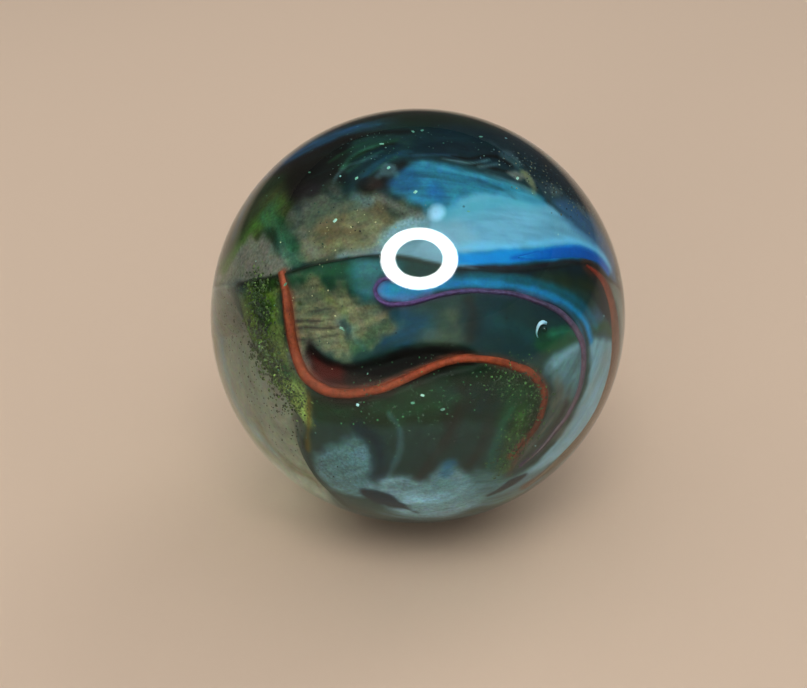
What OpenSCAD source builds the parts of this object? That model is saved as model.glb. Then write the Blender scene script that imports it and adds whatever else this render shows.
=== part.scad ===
// Solid glass marble: one ball of fused glass, rolled round while hot and cooled in one piece.
// Origin at the centre of the ball, +Z up, lengths in millimetres.

/* [Ball] */
// Diameter of the ball
ball_d = 16; // [12:0.5:25]

/* [Finish] */
// Overall tint of the swirled glass
glass_tint = "darkslategray"; // [darkslategray, teal, seagreen]

/* [Hidden] */
// Facets of the drawn ball
ball_fn = 180;

// The whole marble: clear and coloured glass fused into one solid ball.
module marble() {
    color(glass_tint)
        sphere(d = ball_d, $fn = ball_fn);
}

marble();
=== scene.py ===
import math

import bmesh
import bpy
import numpy as np
from mathutils import Matrix, Vector


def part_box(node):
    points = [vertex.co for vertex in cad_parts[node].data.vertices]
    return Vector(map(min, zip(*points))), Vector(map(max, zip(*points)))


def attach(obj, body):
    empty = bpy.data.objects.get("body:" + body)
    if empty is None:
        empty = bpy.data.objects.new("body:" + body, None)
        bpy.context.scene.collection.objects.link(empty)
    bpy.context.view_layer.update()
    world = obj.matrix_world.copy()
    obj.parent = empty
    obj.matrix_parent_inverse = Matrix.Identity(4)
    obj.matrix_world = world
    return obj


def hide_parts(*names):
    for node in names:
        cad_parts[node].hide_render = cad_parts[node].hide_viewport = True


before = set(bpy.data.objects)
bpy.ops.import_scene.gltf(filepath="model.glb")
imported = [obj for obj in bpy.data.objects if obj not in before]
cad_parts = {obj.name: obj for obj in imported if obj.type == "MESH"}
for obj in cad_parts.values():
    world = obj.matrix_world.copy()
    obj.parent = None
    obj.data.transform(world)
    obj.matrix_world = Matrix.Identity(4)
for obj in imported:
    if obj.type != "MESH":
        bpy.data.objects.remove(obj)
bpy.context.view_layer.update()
low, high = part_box("marble")
middle = (low + high) / 2
mm = 0.001
radius = (high.z - low.z) / 2 / mm

# Places on the ball are (turn, rise) in degrees, as on a globe seen from its face: turn goes to
# the right and rise goes up from the middle of the face. The face leans back by faceTilt.
ball = {
    "faceTilt": 30,      # degrees that the face looks up from level
    "coverGlass": 0.4,   # mm of clear glass over the coloured body
    "bodyCuts": 127,     # the coloured body's grid: squares along a side, less one
    "faceDenser": 0.2,   # how much of that grid is drawn towards the face
    "twinTurn": 165,     # degrees round to the second swirl, on the back
    "bright": (0.93, 1.04, 1.05),  # how light the glass is against its swatches: red, green and blue
    "contrast": 1.13,    # over 1 keeps the darks darker
    # painted light: the body is painted lighter towards its underside, as if lit from below
    "underLift": 1.2,    # how much lighter the body is towards its underside
}
bothSwirls = (0, ball["twinTurn"])

# The coloured glasses, as swatches in daylight
glasses = {
    "clear": "8e8d80", "smoke": "77756a", "black": "13110f", "nightTeal": "0d252e", "deepTeal": "1b3438",
    "topGreen": "132820", "tealBlue": "2e7288", "inkBlue": "1d5070", "slateBlue": "3f6280",
    "slate": "31434c", "brightCyan": "34869c", "cyan": "1f7499", "deepCyan": "17586a", "royal": "0e5698",
    "azure": "1480b4", "skyEdge": "72b6d6", "paleBlue": "72a2b6", "paleTeal": "5598a6",
    "mistBlue": "84a4b0", "lilac": "5a78a0", "deepGreen": "062511", "bottleGreen": "1d4a30",
    "leaf": "4c6e2c", "lime": "8c9c5c", "moss": "66703f", "olive": "31351a", "jade": "2c6b57",
    "teal": "2a6a70", "sand": "6e6b54", "straw": "8e8868", "tan": "645236", "stone": "505849",
    "umber": "2d2a27", "bark": "17150f", "amber": "5c4a20", "greyTeal": "567276", "fogGreen": "20342f",
    "seamDark": "1a2118", "dusk": "50534b", "ash": "7f8078", "pond": "213b37", "rust": "5c3424",
    "plum": "2a1c22", "brick": "84402e", "grape": "4c3454", "frit": "647c2c", "fritDark": "1f3a10",
    "seaGreen": "356653", "fogBlue": "7e969f", "oxblood": "4a110d",
}

# The seam where the upper gather of glass meets the lower one
seam = [(-61, 8.5), (-45, 10.4), (-32, 13.2), (-16, 16), (-4, 15.2), (8, 12.7), (21, 11.7), (32, 11.9),
        (44, 13.2), (55, 14), (61, 13), (67, 10), (80, 7)]


def band(glass, line, wide, soft, **rest):
    return dict(rest, glass=glass, line=line, wide=wide, soft=soft)


def patch(glass, outline, soft, **rest):
    return dict(rest, glass=glass, patch=outline, soft=soft)


# Layers of glass from the lowest up: bands along a line with a width, and patches with an outline, in
# degrees. soft is how far the edge fades, cover how solid it is, streak how drawn out and flow which way,
# ragged how uneven its edge is, grain how speckled it is, and dip how many mm it lies deeper.
upperGather = [
    patch("topGreen", [(-90, 62), (-45, 68), (0, 63), (40, 68), (90, 62), (135, 66), (180, 70), (225, 66)],
          10),
    band("deepCyan", [(-40, 72), (0, 75), (40, 73), (80, 68), (104, 60), (116, 48)], 4, 5, cover=0.7,
         streak=0.7),
    band("inkBlue", [(64, 60), (84, 57), (104, 50), (116, 38), (122, 24)], [2, 5, 6, 4], 5, cover=0.8,
         streak=0.5),
    band("jade", [(74, 50), (88, 46), (100, 38), (106, 26), (106, 14)], [1, 4, 5, 3], 4, cover=0.7,
         streak=0.6),
    band("greyTeal", [(80, 62), (96, 54), (108, 44), (113, 32)], 1.4, 2, cover=0.7, streak=0.4),
    patch("stone", [(84, 40), (94, 38), (100, 28), (100, 14), (90, 10), (84, 20)], 5, ragged=3, cover=0.8,
          streak=0.4, flow=70),
    band("plum", [(60, 66), (90, 66), (120, 60)], 3, 4, cover=0.6, streak=0.4),
    patch("nightTeal", [(-6, 50), (4, 62), (30, 66), (60, 62), (68, 48), (40, 44), (12, 47)], 6, streak=0.5,
          flow=-15),
    band("deepTeal", [(-8, 62), (8, 58), (26, 57), (44, 54)], 5, 5, cover=0.6, streak=0.7),
    band("plum", [(10, 52), (20, 53), (32, 51), (42, 49)], 4, 5, cover=0.3, streak=0.4),
    patch("olive", [(-84, 36), (-70, 44), (-56, 46), (-44, 40), (-42, 28), (-52, 18), (-84, 22)], 7,
          streak=0.4, flow=60, grain=0.5),
    band("moss", [(-70, 30), (-60, 34), (-50, 33), (-46, 28)], 5, 6, cover=0.3, streak=0.8),
    band("deepGreen", [(-78, 34), (-66, 38), (-56, 42)], 5, 5, cover=0.6, streak=0.5),
    patch("bark", [(-60, 44), (-48, 50), (-34, 54), (-26, 48), (-28, 38), (-36, 31), (-46, 33), (-54, 38)],
          6, streak=0.3, flow=30, cover=0.9),
    band("plum", [(-46, 36), (-38, 37), (-33, 33)], 4, 5, cover=0.6, streak=0.3),
    band("black", [(-48, 35), (-47.5, 40), (-44, 45.6), (-37, 50)], [2, 4, 5, 3], 4, cover=0.8, streak=0.3),
    band("black", [(-68, 44), (-52, 52), (-38, 57), (-22, 60), (-6, 61)], [5, 5.5, 5, 4, 2], 4, streak=0.3),
    band("inkBlue", [(-78, 42), (-66, 51), (-54, 59), (-42, 65), (-26, 70)], 6.5, 5, streak=0.6),
    band("slateBlue", [(-74, 48), (-62, 56), (-50, 62)], 2.6, 4, cover=0.5, streak=0.6),
    patch("pond", [(-32, 56), (-20, 60), (-6, 58), (-4, 50), (-12, 46), (-18, 41), (-30, 44)], 5,
          streak=0.6, flow=55),
    band("nightTeal", [(-24, 47), (-17, 51), (-10, 53)], 3, 3, cover=0.9, streak=0.3),
    band("bottleGreen", [(-30, 45), (-25, 50), (-19, 54), (-12, 56)], 1.8, 2, cover=0.9, streak=0.5),
    band("jade", [(-27, 43), (-22, 47.5), (-16, 51)], 1, 1.6, cover=0.6, streak=0.6),
    band("inkBlue", [(-20, 41), (-16, 46), (-11, 49.5), (-4, 50)], 2, 2.4, cover=0.7, streak=0.5),
    band("jade", [(-18, 40.5), (-14, 45), (-9, 48.5)], 0.7, 1.2, cover=0.6),
    band("bottleGreen", [(-38, 47), (-32, 52), (-24, 56)], 1.4, 2, cover=0.7, streak=0.5),
    band("black", [(-33, 44), (-27, 49), (-20, 52.6), (-12, 54.4)], 1.6, 1.8, cover=0.8, streak=0.3),
    band("nightTeal", [(-26, 39.5), (-22, 44), (-17, 48), (-10, 51)], 2, 2, cover=0.85, streak=0.3),
    band("greyTeal", [(-31.6, 38.2), (-30.6, 42.4), (-28.3, 45.2), (-24.6, 46.4), (-17.7, 48.9)], 0.8, 1.4,
         cover=0.65, streak=0.4),
    band("seaGreen", [(-30.6, 44), (-29, 48), (-25, 51.6), (-18, 54)], 1.2, 1.8, cover=0.8, streak=0.5),
    band("nightTeal", [(-27, 46.6), (-22, 50), (-15, 52.4)], 0.8, 1.2, cover=0.85),
    patch("stone", [(-40, 34), (-30, 38), (-20, 36), (-12, 34), (-4, 31), (2, 26), (-2, 19), (-9, 17),
                    (-18, 16), (-28, 14.5), (-38, 12.5), (-44, 16), (-43, 26)], 5, ragged=3, streak=0.3,
          dip=0.4, grain=0.3),
    band("dusk", [(-42, 28), (-36, 33), (-29, 36)], 4, 5, cover=0.8, streak=0.4, grain=0.6),
    patch("sand", [(-34, 27), (-28, 31), (-19, 31), (-8, 29), (-4, 23), (-10, 19), (-20, 16), (-32, 15),
                   (-38, 19)], 5, ragged=4, cover=0.85, dip=0.5, grain=0.3, streak=0.4, flow=20),
    band("tan", [(-18, 35), (-13, 31), (-6, 28.5), (-1, 28)], 5, 4, cover=0.8, streak=0.4, grain=0.5),
    patch("tan", [(-32, 27), (-26, 29), (-20, 27), (-20, 22), (-28, 20), (-34, 22)], 4, ragged=3, cover=0.6,
          streak=0.5),
    band("straw", [(-30, 18), (-24, 21), (-16, 20), (-12, 22)], 3, 4, cover=0.6, streak=0.7, ragged=2),
    band("straw", [(-24, 26), (-17, 25), (-11, 26)], 1.6, 3, cover=0.5, streak=0.6, ragged=1.6),
    band("smoke", [(-38, 24), (-36, 20), (-31, 17)], 3, 4, cover=0.7, ragged=2),
    patch("greyTeal", [(-24, 36), (-19, 36.5), (-15, 34), (-17, 31.5), (-22, 32.5)], 2.6, ragged=1.4,
          cover=0.7),
    band("fogGreen", [(-34, 37), (-28, 34), (-22, 37), (-17, 36)], 2, 3, cover=0.7, streak=0.5),
    patch("fogGreen", [(-11, 31.5), (-6, 31), (-3, 29.5), (-7, 28)], 2, cover=0.7),
    patch("mistBlue", [(-24, 16.5), (-14, 18.5), (-11, 24), (-5, 28), (2, 29), (8, 25), (6, 18), (0, 16.5),
                       (-10, 16)], 4, cover=0.85),
    band("ash", [(-22, 17.2), (-14, 17.6), (-8, 19)], 1.4, 2.6, cover=0.7),
    band("ash", [(-15, 34.5), (-10, 33), (-5, 30.5), (1, 28)], 1.4, 2.4, cover=0.85, streak=0.2),
    band("leaf", [(-76, 12), (-68, 18), (-60, 24), (-53, 29)], 8, 8, ragged=1.4, cover=0.85, streak=0.4,
         grain=0.5),
    band("lime", [(-66, 18), (-60, 22), (-54, 26)], 1.6, 4, ragged=1.4, cover=0.22, grain=0.5),
    patch("smoke", [(-88, 10), (-74, 13), (-62, 21), (-51, 23), (-44, 18), (-38, 12.5), (-46, 10.6),
                    (-62, 8.8)], 3, ragged=2, grain=0.4, dip=0.3),
    band("seaGreen", [(-54, 28), (-48, 23), (-42, 18), (-37, 13)], [7, 6, 4, 1.5], 4.5, ragged=1.6,
         cover=0.85, streak=0.5, grain=0.4),
    band("bottleGreen", [(-48, 27), (-44, 23), (-40, 19)], 1.6, 2.4, ragged=1.5, cover=0.7),
    patch("black", [(-22, 38), (-17, 41.5), (-10, 45.5), (-5, 46), (-8, 40), (-13, 36.5), (-19, 35.5)], 3,
          cover=0.85, streak=0.4, flow=40),
    patch("rust", [(-17, 40), (-13, 39), (-13, 36.5), (-17, 37)], 2.4, cover=0.3),
    patch("tealBlue", [(-9, 36), (-7, 42), (0, 47), (10, 46), (22, 42.5), (34, 39), (46, 34), (42, 30),
                       (20, 31), (10, 28), (3, 28), (0, 31), (-5, 33.5)], 3, streak=0.4, flow=-12),
    patch("inkBlue", [(-11, 38), (-7, 43), (-2, 44), (1, 40), (-1, 36), (-6, 35)], 3, cover=0.85,
          streak=0.4, flow=30),
    patch("greyTeal", [(-14, 42.4), (-12, 45), (-8, 44), (-8, 41.4), (-11.6, 40.6)], 2, ragged=1.5,
          cover=0.65),
    patch("slateBlue", [(50, 32), (60, 30), (68, 25), (76, 16), (74, 9), (66, 14), (60, 22)], 5, cover=0.9),
    patch("slate", [(42, 38), (50, 34), (58, 30), (66, 24), (74, 28), (74, 38), (60, 46), (48, 46)], 6,
          streak=0.3, flow=-40, cover=0.9),
    patch("nightTeal", [(44, 43), (54, 39), (64, 33), (72, 30), (76, 40), (60, 50), (48, 50)], 5, ragged=3,
          cover=0.85, grain=1.0),
    patch("slateBlue", [(50, 31.5), (58, 29), (65, 24), (72, 17), (77, 13), (76, 22), (68, 30), (58, 34)],
          5, cover=0.75, ragged=1),
    patch("paleBlue", [(2, 18), (4, 26), (9, 30), (16, 34), (26, 35), (38, 34), (44, 32.5), (51, 28.6),
                       (57, 24.6), (64, 20), (71, 13), (62, 17), (48, 18), (30, 17.5), (12, 16)], 2.6,
          streak=0.15, flow=-8, grain=0.02),
    patch("mistBlue", [(2, 18), (3, 25), (9, 27), (15, 24), (18, 18), (10, 16)], 5, cover=0.6),
    band("paleTeal", [(8, 28), (18, 30.5), (28, 32.5), (40, 33)], 5, 5, cover=0.8, streak=0.3, grain=0.02),
    patch("slateBlue", [(50, 29), (58, 27), (64, 21), (62, 19), (55, 23)], 3, cover=0.5),
    band("tealBlue", [(10, 37.5), (20, 37), (32, 34.5), (44, 32)], 2, 2.4, cover=0.75, streak=0.5),
    band("inkBlue", [(4, 45), (9, 43), (15, 41.2), (24, 38.8)], 1.2, 2, cover=0.65, streak=0.4),
    band("deepTeal", [(20, 40), (28, 36.8), (33, 33.4)], 0.7, 2.4, cover=0.45, ragged=0.8),
    patch("royal", [(3, 34), (4, 38), (7, 38), (9, 34), (6, 31)], 4, cover=0.4),
    band("brightCyan", [(-2, 33), (5, 31), (10, 30), (12, 34)], 2.6, 3.4, cover=0.6, streak=0.3),
    band("paleTeal", [(2, 46), (12, 43), (24, 40.5), (36, 37.5)], 1.6, 2, cover=0.5, streak=0.6),
    band("greyTeal", [(26, 42.5), (34, 39.5), (42, 36)], 1.6, 2, cover=0.7, streak=0.3),
    band("deepTeal", [(-6, 50), (6, 48.4), (18, 45), (30, 42), (40, 39), (46, 35)], 1.3, 1.6, cover=0.9),
    band("black", [(10, 48), (20, 46), (30, 44), (40, 41)], 1.4, 1.4, cover=0.85, streak=0.3),
    band("slateBlue", [(-2, 49), (8, 49.4), (16, 49)], 1, 1.6, cover=0.5),
    band("black", [(14, 49), (21, 47.8), (29, 49), (35, 48.6), (39, 46)], [0.8, 1.2, 2], 1.2, cover=0.95),
    band("greyTeal", [(10, 47.8), (15.4, 46.7), (22, 46), (30, 47.4)], 0.8, 1.2, cover=0.85),
    band("greyTeal", [(24, 44.6), (28, 45), (33, 45.8)], 1, 1.4, cover=0.7),
    band("slate", [(36, 48), (39, 52), (38, 56)], 1.2, 2, cover=0.7, ragged=1),
    patch("greyTeal", [(36, 51), (43, 51), (47, 47), (44, 43.5), (39, 45)], 3, ragged=1.5, cover=0.6),
    patch("ash", [(35, 42.4), (39, 43.4), (43, 42.6), (42, 40), (37, 39.4)], 1.8, ragged=1.2, cover=0.75),
    patch("straw", [(42, 42.6), (46, 42), (45.6, 37.4), (42.4, 36)], 1.8, ragged=1.2, cover=0.75),
    band("smoke", [(48, 41), (54, 38), (60, 33.6), (64, 30)], [1, 2, 1.4, 0.4], 2, ragged=3, cover=0.5,
         grain=1.0),
    patch("mistBlue", [(-9, 18), (-2, 20), (6, 20), (14, 18), (15, 11), (4, 12), (-8, 14)], 2.4, cover=0.9,
          grain=0.02),
    band("skyEdge", [(12, 18), (24, 18.4), (34, 19.4), (43, 20.2), (50, 20.6), (58, 19.8), (66, 17),
                     (71, 13)], 2, 3.4, cover=0.75),
    band("azure", [(11, 14.9), (16, 15.1), (22, 15.4), (33, 16.2), (42, 17), (50, 17.6), (57, 17.2),
                   (63, 15.6), (68, 12.6)], [3.4, 3.9, 3.8, 3.7, 3.6, 3], 1.8, grain=0.03),
    band("royal", [(27, 15.4), (34, 16), (42, 17), (50, 17.6), (57, 17.1), (63, 15.4), (68, 12.4)],
         [0.4, 2.4, 2.8, 3, 3, 2.2], 1.8, grain=0.03),
    band("plum", [(12, 12.9), (24, 12.6), (34, 13), (46, 14.4), (58, 14)], 0.7, 1, cover=0.9),
]
lowerGather = [
    band("jade", [(90, 8), (95, -6), (98, -20), (96, -34), (88, -48)], [2, 6, 8, 6], 6, cover=0.8,
         streak=0.6, grain=0.4),
    band("inkBlue", [(100, 8), (106, -6), (109, -20), (106, -36), (96, -52)], [3, 5, 6, 3], 5, cover=0.85,
         streak=0.5),
    band("black", [(96, 8), (101, -6), (104, -20), (101, -36), (92, -50)], 1.4, 2, cover=0.85, streak=0.2),
    band("mistBlue", [(108, 4), (113, -8), (115, -22), (112, -36), (104, -50)], 2.4, 3, cover=0.8,
         streak=0.5),
    patch("sand", [(88, -12), (95, -16), (96, -28), (91, -38), (87, -30)], 4, ragged=2, cover=0.7,
          streak=0.5, flow=80),
    band("greyTeal", [(-30, -72), (10, -78), (60, -74), (100, -66), (125, -56)], 6, 6, cover=0.8,
         streak=0.7),
    band("nightTeal", [(-20, -80), (40, -84), (90, -76), (120, -66)], 4, 4, cover=0.9, streak=0.4),
    band("bottleGreen", [(60, -62), (85, -60), (105, -54), (120, -44)], 4, 4, cover=0.8, streak=0.5),
    patch("bottleGreen", [(-38, 13), (-24, 15), (-14, 13), (-14, 5), (-24, 6), (-38, 6)], 5, cover=0.8,
          streak=0.4, flow=8),
    patch("teal", [(-19, 14), (-12, 15), (-4, 13), (-8, 2), (-14, -1), (-18, 4)], 5, cover=0.9, streak=0.3),
    patch("stone", [(-20, 3), (-8, 1), (6, 3), (16, 4), (16, -6), (6, -9), (-8, -9), (-18, -6)], 6,
          cover=0.6, streak=0.5, flow=4),
    patch("greyTeal", [(-18, 14), (-12, 14.4), (-9, 10), (-12, 4), (-17, 6)], 4, cover=0.4, ragged=1),
    patch("deepTeal", [(-13, -1), (-4, 1), (2, -2), (0, -7), (-8, -9), (-13, -8)], 5, cover=0.8,
          streak=0.4),
    band("stone", [(3, -6), (8, -7), (12, -5), (10, 0)], 4, 4, cover=0.8, streak=0.5),
    patch("inkBlue", [(-12, 0), (-4, 1), (4, 0), (2, -6), (-6, -9), (-13, -9)], 5, cover=0.55, streak=0.4,
          flow=20),
    patch("sand", [(-40, 6), (-32, 9), (-24, 8), (-19, 5), (-13, 3), (-8, 2), (-7, -2), (-10, -6),
                   (-14, -10), (-20, -12.5), (-27, -11), (-31, -7), (-36, -12), (-39, -4)], 4, ragged=2.5,
          dip=0.3, streak=0.3, flow=10, grain=0.4),
    band("straw", [(-38, 2), (-30, 2.4), (-22, 3.4), (-17, 4)], 1.6, 2.4, cover=0.6, streak=0.9, ragged=1),
    band("straw", [(-37, -2), (-30, -2), (-24, -1), (-18, 1)], 2.4, 2.4, cover=0.7, streak=0.8, ragged=1),
    band("straw", [(-32, -6), (-26, -5.4), (-20, -5), (-14, -2), (-9, -1)], 2.2, 3, cover=0.6, streak=0.9,
         ragged=1),
    band("moss", [(-28, 7), (-24, 3), (-20, -1), (-17, -6), (-14, -9)], 1.6, 2.6, cover=0.55, streak=0.5,
         ragged=1.5),
    band("greyTeal", [(-23, -2), (-20, -4), (-18, -7), (-16, -9)], 2.4, 3, cover=0.5, ragged=2),
    band("deepTeal", [(-21.5, -2.6), (-20, -4), (-20, -6)], 1.2, 2, cover=0.7, ragged=1.4),
    band("stone", [(-36, 8), (-32, 5), (-35, 2)], 1.2, 2, cover=0.6),
    band("umber", [(-32, -8), (-31, -11), (-29, -14)], 3, 4, cover=0.8),
    patch("bottleGreen", [(-20, -8), (-17, -11.4), (-13, -9), (-9, -4), (-9, -1), (-13, -3), (-16, -6)], 3,
          ragged=2, cover=0.55, streak=0.3),
    band("umber", [(-37.6, -2), (-33, -1.8), (-29, -1.9), (-24, -1.2)], [0.5, 0.7, 0.2], 0.8, ragged=0.4,
         cover=0.7),
    band("umber", [(-37.4, -4.2), (-33, -3.6), (-28, -3.9), (-22.6, -3.7)], [0.3, 0.7, 0.3], 0.8,
         ragged=0.4, cover=0.7),
    band("umber", [(-36.8, -7), (-32, -7), (-27, -6.2), (-22.8, -5.6)], [0.6, 0.5, 0.2], 0.8, ragged=0.4,
         cover=0.6),
    band("umber", [(-36, 0.6), (-31, 0.8), (-25, 1.6)], 0.3, 0.7, ragged=0.4, cover=0.5),
    patch("fritDark", [(-36, 3.6), (-34.4, 3.8), (-34, 2.4), (-35.4, 2.2)], 1, ragged=0.6, cover=0.6),
    patch("deepTeal", [(13, 5), (30, 5), (42, 2), (48, -4), (46, -9), (36, -12), (24, -11), (14, -9)], 5,
          streak=0.4, flow=-6),
    band("teal", [(20, -2), (27, -3), (34, -6)], 4, 5, cover=0.35, streak=0.4),
    band("umber", [(14, 4), (14.5, -1), (14, -7)], 2.2, 3, cover=0.7),
    band("fogGreen", [(26, 1), (34, -3), (38, -8)], 5, 5, cover=0.7, streak=0.4),
    patch("bottleGreen", [(34, -6), (40, -3.5), (49, -3), (52, -6), (44, -9.5), (36, -11)], 3, cover=0.9,
          streak=0.3),
    band("jade", [(39, -5.5), (45, -4.5), (49, -5)], 2, 2.5, cover=0.8, streak=0.4),
    patch("greyTeal", [(39, -12), (44, -9.5), (52, -7.5), (55, -14), (55, -22), (50, -25), (44, -20),
                       (38, -16)], 3, streak=0.3, flow=60),
    band("mistBlue", [(42, -13), (45, -11), (49, -9)], 2.6, 3, cover=0.6),
    patch("slateBlue", [(53, 0), (62, 3), (68, 0), (70, -5), (58, -6)], 5, cover=0.6),
    band("bottleGreen", [(58, -4), (64, -3), (69, -4)], 3.4, 3, cover=0.8),
    patch("mistBlue", [(56, -7), (66, -6.5), (74, -8), (79, -16), (80, -26), (72, -38), (62, -46),
                       (55, -50), (50, -50), (56, -38), (58, -28), (58, -16)], 3, cover=0.9, streak=0.15,
          flow=75, grain=0.04),
    band("fogBlue", [(66, -24), (66, -36), (60, -46), (52, -54)], 8, 6, cover=0.7, streak=0.25),
    band("ash", [(68, 10), (76, 3), (82, -6), (86, -14), (89, -22), (88, -32), (82, -44)], 7, 4, cover=0.75,
         streak=0.15, grain=0.05),
    band("ash", [(66, -11), (63, -18), (60, -26), (56, -35)], 4, 5, cover=0.5),
    patch("dusk", [(43, -17), (50, -22), (55, -24), (56, -32), (51, -40), (46, -46), (40, -48), (39, -40),
                   (43, -32), (44, -24)], 4, streak=0.6, flow=70),
    band("umber", [(50, -20), (51, -28), (48, -36), (43, -44)], 1.6, 3, cover=0.5, streak=0.4),
    patch("fogGreen", [(-18, -28), (0, -28), (20, -28), (32, -34), (34, -46), (26, -54), (4, -54),
                       (-18, -54)], 6, streak=0.4, flow=80),
    patch("deepGreen", [(-34, -22), (-20, -23), (-8, -21), (2, -17), (12, -14), (24, -14), (34, -17),
                        (41, -23), (42, -33), (34, -34), (20, -30), (0, -31), (-18, -32), (-33, -31)], 3.5,
          streak=0.3, flow=10),
    patch("black", [(-28, -22.5), (-18, -23.5), (-6, -20), (4, -16.5), (5, -22), (-6, -27), (-20, -28)], 3,
          cover=0.45),
    patch("nightTeal", [(4, -20), (14, -19), (27, -21), (26, -28), (14, -29)], 6, cover=0.7, streak=0.5,
          flow=70),
    band("bark", [(6, -16), (12, -18), (13, -24), (11, -30)], 3.4, 4, cover=0.8, streak=0.5),
    band("bark", [(-30, -24), (-20, -24.5), (-8, -22.5), (2, -18.5)], 1.4, 2.4, cover=0.7),
    patch("bottleGreen", [(24, -17), (32, -17), (38, -22), (38, -30), (28, -30), (25, -24)], 5, cover=0.6,
          streak=0.5, flow=60),
    patch("bottleGreen", [(-12, -23), (0, -20.5), (12, -19), (14, -25), (0, -28), (-12, -27.5)], 5,
          ragged=2, cover=0.6, streak=0.4, grain=0.6),
    band("bottleGreen", [(-26, -27), (-16, -27), (-8, -28), (-5, -31)], 2.4, 3.4, cover=0.5, streak=0.5),
    band("jade", [(29, -27), (28, -33), (28, -40), (30, -47)], 3, 4, cover=0.5, streak=0.6),
    band("leaf", [(34, -28), (34, -34), (34, -40), (36, -48)], 4.4, 4, ragged=1.6, cover=0.6, streak=0.6,
         grain=0.6),
    band("rust", [(40, -37), (40, -44), (42, -50)], 2, 3, cover=0.5),
    band("umber", [(12, -30), (9.5, -37), (5, -44), (0, -51)], 2.8, 3.4, cover=0.75, streak=0.5),
    band("umber", [(23, -30), (23, -37), (20, -45), (16, -50)], 3, 4, cover=0.6, streak=0.5),
    patch("fogGreen", [(-46, -32), (-36, -30), (-22, -32), (-24, -38), (-36, -42), (-48, -42)], 4,
          cover=0.9, streak=0.3),
    patch("greyTeal", [(-46, -46), (-38, -41), (-28, -37), (-20, -35), (-17, -42), (-19, -50), (-22, -58),
                       (-34, -60), (-48, -56)], 4, ragged=1, streak=0.3, flow=20, grain=0.4),
    band("nightTeal", [(-19, -32), (-15, -37), (-15, -44), (-18, -51)], 4.4, 3, cover=0.85, streak=0.4),
    band("greyTeal", [(-9, -28), (-6, -33), (-7, -41), (-12, -49), (-18, -57)], 1.2, 1.8, cover=0.6,
         streak=0.4),
    patch("fogBlue", [(-22, -54), (-8, -50), (4, -52), (9, -47), (14, -46), (20, -49), (28, -54), (40, -60),
                      (40, -72), (0, -76), (-20, -70)], 5, cover=0.85, streak=0.3, flow=20, grain=0.3),
    patch("greyTeal", [(4, -54), (10, -46), (15, -46), (20, -52), (20, -62), (6, -62)], 5, cover=0.9,
          streak=0.3, flow=60),
    band("mistBlue", [(-2, -62), (8, -63), (16, -60)], 5, 6, cover=0.7, streak=0.6),
    patch("greyTeal", [(24, -48), (38, -50), (52, -50), (66, -46), (76, -54), (60, -66), (36, -66),
                       (24, -58)], 6, cover=0.8, streak=0.4, flow=20),
    band("inkBlue", [(12, -45), (11, -49)], 2.4, 3, cover=0.5),
    patch("nightTeal", [(-31, -56.6), (-24, -56), (-16, -59.4), (-8, -65), (-1, -71), (-14, -67.6),
                        (-27, -63.4)], 1.6, ragged=0.8, cover=0.95),
    band("nightTeal", [(42, -59.4), (46, -56), (49, -53), (52, -50.4)], [1.6, 3, 4.4, 3], 1.4, ragged=0.6,
         cover=0.97),
    patch("black", [(-32, -9), (-27, -12.5), (-20, -14), (-12, -12.8), (-6, -10.6), (3, -9.4), (12, -10),
                    (15, -13), (6, -15), (-3, -18.5), (-13, -21.5), (-24, -22.5), (-31, -20.5), (-35, -16),
                    (-34, -11)], 2.6, dip=0.5, streak=0.3, flow=18),
    band("umber", [(-4, -11), (4, -10.5), (12, -11)], 2.4, 3, cover=0.8, streak=0.5),
    patch("oxblood", [(-32, -11), (-27, -13.5), (-23, -15), (-24, -19), (-30, -19), (-33, -15)], 4.5,
          cover=0.9),
    patch("smoke", [(-42, -8), (-35, -9), (-33, -16), (-36, -19), (-41, -14)], 2.4, cover=0.7, grain=0.5),
    patch("nightTeal", [(9, 12.6), (30, 12.4), (46, 14), (58, 14), (64, 10), (70, 2), (70, -4), (62, 0),
                        (54, 6), (42, 9), (26, 11), (12, 11.2)], 1.6),
    patch("olive", [(34, 11), (48, 11), (58, 9), (60, 4), (50, 7), (40, 9)], 4, cover=0.7, streak=0.4,
          flow=-20),
    band("deepCyan", [(8, 10), (20, 10), (32, 9), (44, 6), (52, 2), (58, -3)], 2, 2.4, cover=0.9),
    band("cyan", [(-9, 6.8), (-4, 6.2), (4, 7.6), (12, 8.4), (20, 8.2), (28, 7.5), (36, 5.8), (43, 3.6),
                  (49, 0.6), (53, -2.6), (56, -7)], [4.6, 3, 2.2, 2.2, 2.2], 1.8),
    band("brightCyan", [(-7, 7), (-3, 6.5), (2, 7.4)], 2, 3, cover=0.7),
    band("lilac", [(-10.5, 8), (-10.5, 5.6), (-8, 4.2), (-3, 4.2), (3, 5.4)], 2, 2.4, cover=0.8),
    band("slateBlue", [(28, 6.5), (36, 4.4), (44, 1.6), (50, -3), (53, -8)], 0.9, 1.4, cover=0.7),
]

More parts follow.
